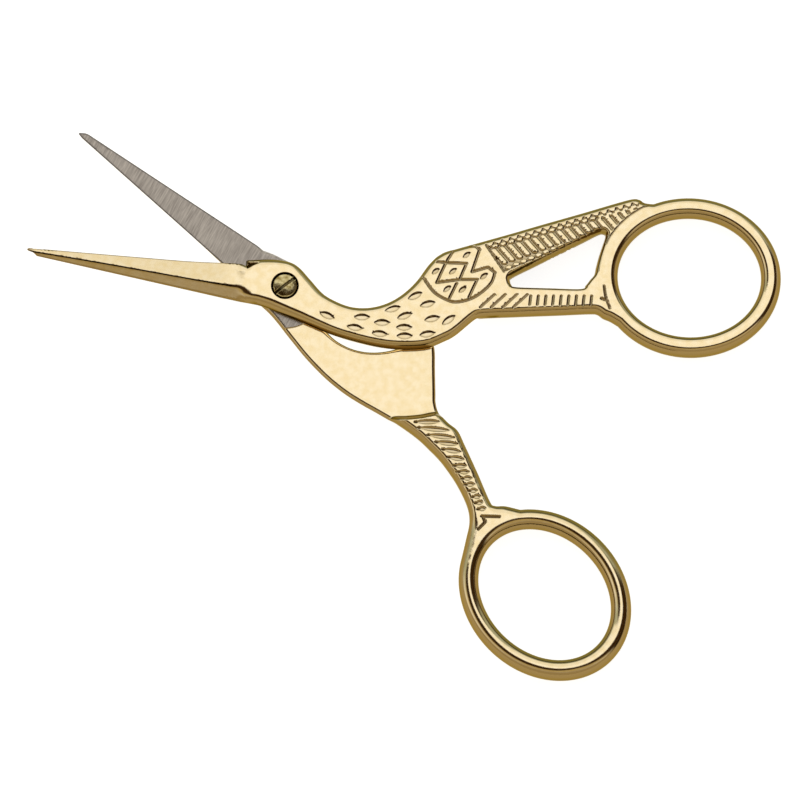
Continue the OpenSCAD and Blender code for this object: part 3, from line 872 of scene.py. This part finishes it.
# %% Polished gilding: tones
turn = add(tree, "ShaderNodeSeparateXYZ", [("Vector", place.outputs["Normal"])])
level = add(tree, "ShaderNodeMath", [(0, turn.outputs["Z"])], operation="ABSOLUTE")
tipped = add(tree, "ShaderNodeMath", [(0, turn.outputs["Y"])], operation="ABSOLUTE")
lean = add(tree, "ShaderNodeMath", [(0, tipped.outputs[0]), (1, -0.16), (2, level.outputs[0])],
           operation="MULTIPLY_ADD")
# pale where the surface lies level; the steeper sides get the painted side shade
flat = add(tree, "ShaderNodeMapRange", [("Value", lean.outputs[0]), ("From Min", 0.66), ("From Max", 0.82)],
           interpolation_type="SMOOTHSTEP")
far_side = add(tree, "ShaderNodeMapRange",
               [("Value", turn.outputs["Y"]), ("From Min", 0.1), ("From Max", 0.6)],
               interpolation_type="SMOOTHSTEP")
# painted shade and painted reflection on the sides: bronze towards the camera, olive away from it
painted_side_shade = add(tree, "ShaderNodeMix",
            [(0, far_side.outputs[0]), (6, colour("#947A49")), (7, colour("#6F653A"))], data_type="RGBA")
worn = add(tree, "ShaderNodeMapRange",
           [("Value", rub.outputs["Fac"]), ("From Min", 0.35), ("From Max", 0.65)])
top_tone = add(tree, "ShaderNodeMix",
               [(0, worn.outputs[0]), (6, colour("#F2DDAF")), (7, colour("#F8E7C2"))], data_type="RGBA")
clean = add(tree, "ShaderNodeMix", [(0, flat.outputs[0]), (6, painted_side_shade.outputs[2]), (7, top_tone.outputs[2])],
            data_type="RGBA")
# the attribute holds the tarnish of the marks together with painted shade; both turn the colour brown
dark = add(tree, "ShaderNodeAttribute", attribute_name="tarnish_and_shade")
brown = add(tree, "ShaderNodeMapRange",
            [("Value", dark.outputs["Fac"]), ("From Min", 0.85), ("From Max", 1.0)])
tarnish_and_shade = add(tree, "ShaderNodeMix",
              [(0, brown.outputs[0]), (6, colour("#6B4F1E")), (7, colour("#2A1A05"))], data_type="RGBA")
tone = add(tree, "ShaderNodeMix",
           [(0, dark.outputs["Fac"]), (6, clean.outputs[2]), (7, tarnish_and_shade.outputs[2])], data_type="RGBA")
metal = add(tree, "ShaderNodeBsdfPrincipled",
            [("Normal", bump.outputs[0]), ("Roughness", rough.outputs[0]), ("Base Color", tone.outputs[2]),
             ("Metallic", 1.0), ("Specular Tint", colour("#D8CBA8"))])
add(tree, "ShaderNodeOutputMaterial", [("Surface", metal.outputs[0])])
print(gilt.name, len(tree.nodes), "nodes")

# %% [markdown]
# ### Ground steel
# A grinding wheel leaves fine lines square to the blade. They are a noise that is stretched twelve times
# along that direction. The wheel's own lines are about 0.03 mm wide, too fine to show, so they are drawn
# 0.14 mm wide with broader ones of 0.28 mm. The rim of the blade is drawn darker. The eye sees a satin
# sheen that is even along the blade, next to the mirror of the gilding. An anisotropic shader could give
# that sheen too, but it would show no single lines.

# %% Ground steel


def ground_steel(name, angle):
    """Bare steel whose grinding lines lie at an angle from +X. The Mapping node turns the pattern and
    stretches it along that angle."""
    material, tree = new_material(name)
    place = add(tree, "ShaderNodeTexCoord")
    laid = add(tree, "ShaderNodeMapping",
               [("Vector", place.outputs["Object"]), ("Rotation", (0, 0, angle)), ("Scale", (12, 1, 1))],
               vector_type="TEXTURE")
    lines = add(tree, "ShaderNodeTexNoise",
                [("Vector", laid.outputs[0]), ("Scale", 7000.0), ("Detail", 2.0), ("Roughness", 0.6)])
    broad = add(tree, "ShaderNodeTexNoise",
                [("Vector", laid.outputs[0]), ("Scale", 3600.0), ("Detail", 2.0)])
    both = add(tree, "ShaderNodeMath",
               [(0, lines.outputs["Fac"]), (1, broad.outputs["Fac"])], operation="ADD")
    tint = add(tree, "ShaderNodeMapRange",
               [("Value", both.outputs[0]), ("From Min", 0.7), ("From Max", 1.3)])
    shade = add(tree, "ShaderNodeMix",
                [(0, tint.outputs[0]), (6, colour("#9B938C")), (7, colour("#C9C1B8"))], data_type="RGBA")
    dark = add(tree, "ShaderNodeAttribute", attribute_name="tarnish_and_shade")
    tone = add(tree, "ShaderNodeMix",
               [(0, dark.outputs["Fac"]), (6, shade.outputs[2]), (7, colour("#4E4A47"))], data_type="RGBA")
    bump = add(tree, "ShaderNodeBump",
               [("Height", both.outputs[0]), ("Strength", 0.6), ("Distance", 0.00002)])
    steel = add(tree, "ShaderNodeBsdfPrincipled",
                [("Base Color", tone.outputs[2]), ("Normal", bump.outputs[0]), ("Metallic", 1.0),
                 ("Roughness", 0.36)])
    add(tree, "ShaderNodeOutputMaterial", [("Surface", steel.outputs[0])])
    return material


front.data.materials.append(gilt)
front.data.materials.append(ground_steel("ground_steel_front", np.radians(90)))
rear.data.materials.append(gilt)
rear.data.materials.append(ground_steel("ground_steel_rear", np.radians(61)))
print([material.name for piece in (front, rear) for material in piece.data.materials])

# %% [markdown]
# ### Tarnished brass
# Brass that has not been polished since it was fitted: patches of brown oxide between paler, rubbed metal,
# with dents 0.7 mm wide. The eye takes it for an older, softer part among the bright ones. One noise gives
# both, since a dent is where the oxide stays.

# %% Tarnished brass
brass, tree = new_material("tarnished_brass")
place = add(tree, "ShaderNodeTexCoord")
spots = add(tree, "ShaderNodeTexNoise",
            [("Vector", place.outputs["Object"]), ("Scale", 1500.0), ("Detail", 4.0)])
patch = add(tree, "ShaderNodeMapRange",
            [("Value", spots.outputs["Fac"]), ("From Min", 0.35), ("From Max", 0.65)])
oxide = add(tree, "ShaderNodeMix", [(0, patch.outputs[0]), (6, colour("#9C8850")), (7, colour("#E6D8A6"))],
            data_type="RGBA")
# the attribute darkens the screw's slot: painted shade
dark = add(tree, "ShaderNodeAttribute", attribute_name="tarnish_and_shade")
tone = add(tree, "ShaderNodeMix", [(0, dark.outputs["Fac"]), (6, oxide.outputs[2]), (7, colour("#2A1A05"))],
           data_type="RGBA")
dents = add(tree, "ShaderNodeBump",
            [("Height", spots.outputs["Fac"]), ("Strength", 0.5), ("Distance", 0.00006)])
metal = add(tree, "ShaderNodeBsdfPrincipled",
            [("Base Color", tone.outputs[2]), ("Normal", dents.outputs[0]), ("Metallic", 1.0),
             ("Roughness", 0.22)])
add(tree, "ShaderNodeOutputMaterial", [("Surface", metal.outputs[0])])
screw.data.materials.append(brass)
print(brass.name, len(tree.nodes), "nodes")

# %% [markdown]
# ## Ride
# Each piece takes the place of one node of the frame and moves with that node's body. The screw is riveted
# into the rear half, so it stays with that one. Parenting by hand would do the same for one pose only.

# %% Ride
for piece, node, body, material in ((front, "front_half", "upper_blade", "gilt_steel"),
                                    (rear, "back_half", "lower_blade", "gilt_steel"),
                                    (screw, "pivot_screw", "lower_blade", "aged_brass")):
    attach(piece, body)
    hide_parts(node)
    print(piece.name, "stands for", node, "and rides on", body)

# %% [markdown]
# ## Studio
# Polished metal shows the room and not itself, so the room matters as much as the metal. It could be built
# from lamps and boards, but a room painted on the world by direction lights every view without noise. x
# runs to the right, y to the far side and z up.
#
# ### Directions
# The dark space over the camera leans to the left with `leaning`. The white panel is `width` wide: the
# distance of x from a middle line that moves left as y grows, less the way that the line has moved. So the
# panel keeps its right edge and grows to the left.

# %% Directions in the room
world = bpy.data.worlds.new("studio")
bpy.context.scene.world = world
world.use_nodes = True
tree = world.node_tree
tree.nodes.clear()
way = add(tree, "ShaderNodeTexCoord")
axes = add(tree, "ShaderNodeSeparateXYZ", [("Vector", way.outputs["Generated"])])
x_axis, y_axis, z_axis = axes.outputs
leaning = add(tree, "ShaderNodeMath", [(0, x_axis), (1, -0.25), (2, z_axis)], operation="MULTIPLY_ADD")
across_y = add(tree, "ShaderNodeMath", [(0, y_axis), (1, 0.03)], operation="SUBTRACT")
depth_y = add(tree, "ShaderNodeMath", [(0, across_y.outputs[0])], operation="ABSOLUTE")
sway = add(tree, "ShaderNodeMapRange",
           [("Value", y_axis), ("From Min", 0.21), ("From Max", 0.5), ("To Max", 0.4)])
from_middle = add(tree, "ShaderNodeMath", [(0, x_axis), (1, -0.12)], operation="ADD")
swayed = add(tree, "ShaderNodeMath", [(0, from_middle.outputs[0]), (1, sway.outputs[0])], operation="ADD")
reach = add(tree, "ShaderNodeMath", [(0, swayed.outputs[0])], operation="ABSOLUTE")
width = add(tree, "ShaderNodeMath", [(0, reach.outputs[0]), (1, sway.outputs[0])], operation="SUBTRACT")

# %% [markdown]
# ### Fades
# Each part of the room is a product of fades, which go from 0 at their first number to 1 at their second.
# `shade` is the dark space: a cap over the camera and the wall past the panel's right end. The borders
# turn past it on their way down, which gives them their dark line. `panel` is the white panel.

# %% Fades
fade = {}
for name, along, none, whole, kind in (("near_high", z_axis, 0.35, 0.62, "LINEAR"),
                                       ("far_low", z_axis, 0.0, 0.15, "LINEAR"),
                                       ("far", y_axis, -0.1, 0.4, "SMOOTHSTEP"),
                                       ("overhead", leaning.outputs[0], 0.82, 0.89, "SMOOTHSTEP"),
                                       ("this_side", y_axis, 0.36, 0.27, "SMOOTHSTEP"),
                                       ("right", x_axis, 0.1, 0.25, "SMOOTHSTEP"),
                                       ("high", z_axis, 0.0, 0.12, "SMOOTHSTEP"),
                                       ("middle", depth_y.outputs[0], 0.6, 0.4, "SMOOTHSTEP"),
                                       ("panel_y", y_axis, -0.06, 0.04, "SMOOTHSTEP"),
                                       ("panel_z", z_axis, 0.28, 0.36, "SMOOTHSTEP"),
                                       ("panel_x", width.outputs[0], 0.34, 0.24, "SMOOTHSTEP"),
                                       ("panel_far", y_axis, 0.26, 0.6, "SMOOTHSTEP")):
    node = add(tree, "ShaderNodeMapRange", [("Value", along), ("From Min", none), ("From Max", whole)],
               interpolation_type=kind)
    fade[name] = node.outputs[0]
for name, one, other, operation in (("cap", "overhead", "this_side", "MULTIPLY"),
                                    ("right_high", "right", "high", "MULTIPLY"),
                                    ("right_dark", "right_high", "middle", "MULTIPLY"),
                                    ("shade", "cap", "right_dark", "MAXIMUM"),
                                    ("panel_yz", "panel_y", "panel_z", "MULTIPLY"),
                                    ("panel", "panel_yz", "panel_x", "MULTIPLY")):
    node = add(tree, "ShaderNodeMath", [(0, fade[one]), (1, fade[other])], operation=operation)
    fade[name] = node.outputs[0]
print(len(fade), "fades")

# %% [markdown]
# ### Tones
# The near side of the room is bronze above and pale near the floor, the far side is olive grey, and the
# dark space is brown. The panel is white cloth, a shade greyer at its far end.

# %% Tones
tones = {}
for name, share, low, high in (("bronze", "near_high", "#F4EFE6", "#AA986D"),
                               ("olive", "far_low", "#D3D9D3", "#A4A896"),
                               ("walls", "far", "bronze", "olive"),
                               ("room", "shade", "walls", "#33210C"),
                               ("cloth", "panel_far", "#FFFDF9", "#EFECE4"),
                               ("sky", "panel", "room", "cloth")):
    ends = [tones[end] if end in tones else colour(end) for end in (low, high)]
    node = add(tree, "ShaderNodeMix", [(0, fade[share]), (6, ends[0]), (7, ends[1])], data_type="RGBA")
    tones[name] = node.outputs[2]
background = add(tree, "ShaderNodeBackground", [("Color", tones["sky"]), ("Strength", 1.08)])
add(tree, "ShaderNodeOutputWorld", [("Surface", background.outputs[0])])
print(world.name, len(tree.nodes), "nodes")

# %% [markdown]
# ## Floor
# The scissors lie on white paper. It could be lit until it is white, but that much light would bleach the
# pieces. So the floor glows only for rays that come from the camera, from a mirror or through glass: it is
# seen white but lights nothing, and its matte share still darkens a little under the pieces. It lies just
# below the table, out of their way.

# %% Floor
FLOOR_HALF, BELOW = 2.0, -0.02 * MM
corners = np.array([(-1, -1), (1, -1), (1, 1), (-1, 1)]) * FLOOR_HALF
floor_mesh = bpy.data.meshes.new("floor")
floor_mesh.from_pydata(np.c_[corners, np.full(4, BELOW)].tolist(), [], [(0, 1, 2, 3)])
floor = bpy.data.objects.new("floor", floor_mesh)
bpy.context.scene.collection.objects.link(floor)
paper, tree = new_material("white_paper")
path = add(tree, "ShaderNodeLightPath")
direct = add(tree, "ShaderNodeMath",
             [(0, path.outputs["Is Camera Ray"]), (1, path.outputs["Is Glossy Ray"])], operation="MAXIMUM")
seen = add(tree, "ShaderNodeMath", [(0, direct.outputs[0]), (1, path.outputs["Is Transmission Ray"])],
           operation="MAXIMUM")
glow = add(tree, "ShaderNodeMath", [(0, seen.outputs[0]), (1, 0.9)], operation="MULTIPLY")
shine = add(tree, "ShaderNodeEmission", [("Strength", glow.outputs[0]), ("Color", colour("#FFFFFF"))])
matte = add(tree, "ShaderNodeBsdfDiffuse", [("Color", colour("#C8C8C8"))])
both = add(tree, "ShaderNodeAddShader", [(0, shine.outputs[0]), (1, matte.outputs[0])])
add(tree, "ShaderNodeOutputMaterial", [("Surface", both.outputs[0])])
floor_mesh.materials.append(paper)
bpy.context.scene.view_settings.view_transform = "Standard"
print(paper.name, len(tree.nodes), "nodes, half side", FLOOR_HALF, "m")
